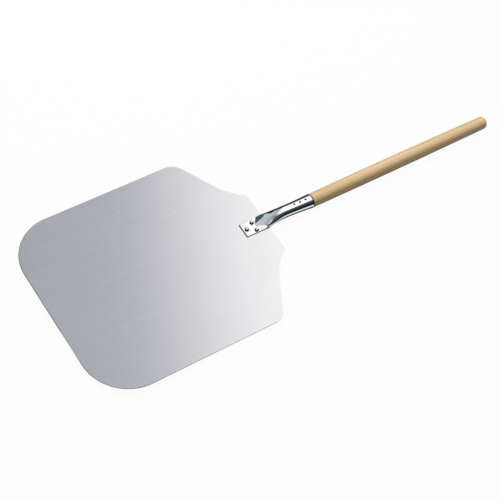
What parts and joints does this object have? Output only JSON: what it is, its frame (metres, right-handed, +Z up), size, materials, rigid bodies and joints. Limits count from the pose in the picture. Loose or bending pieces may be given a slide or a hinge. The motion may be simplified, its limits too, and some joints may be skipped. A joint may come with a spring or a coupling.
{
  "type": "pizza peel",
  "caption": "Flat metal pizza peel with rounded corners, a riveted flared ferrule and a round wooden handle with a domed end.",
  "frame": {"origin": "bottom centre of the whole peel's box, level with the lowest point of the ferrule's mouth", "axes": "+X from the blade's front edge to the end of the handle, +Y across the blade, +Z up, out of the face that carries the pizza"},
  "size_m": [0.9144, 0.3556, 0.027],
  "materials": {
    "blade_aluminium": "satin rolled sheet with fine scratches",
    "ferrule_chrome": "bright plated steel tube",
    "fastener_steel": "polished steel rivets and nails",
    "handle_wood": "light turned hardwood, satin lacquer"
  },
  "bodies": {
    "root": {"blade": "blade_aluminium", "ferrule": "ferrule_chrome", "handle": "handle_wood", "rivet_front": "fastener_steel", "rivet_rear_left": "fastener_steel", "rivet_rear_right": "fastener_steel", "nail_front": "fastener_steel", "nail_middle": "fastener_steel", "nail_rear": "fastener_steel"}
  },
  "joints": []
}
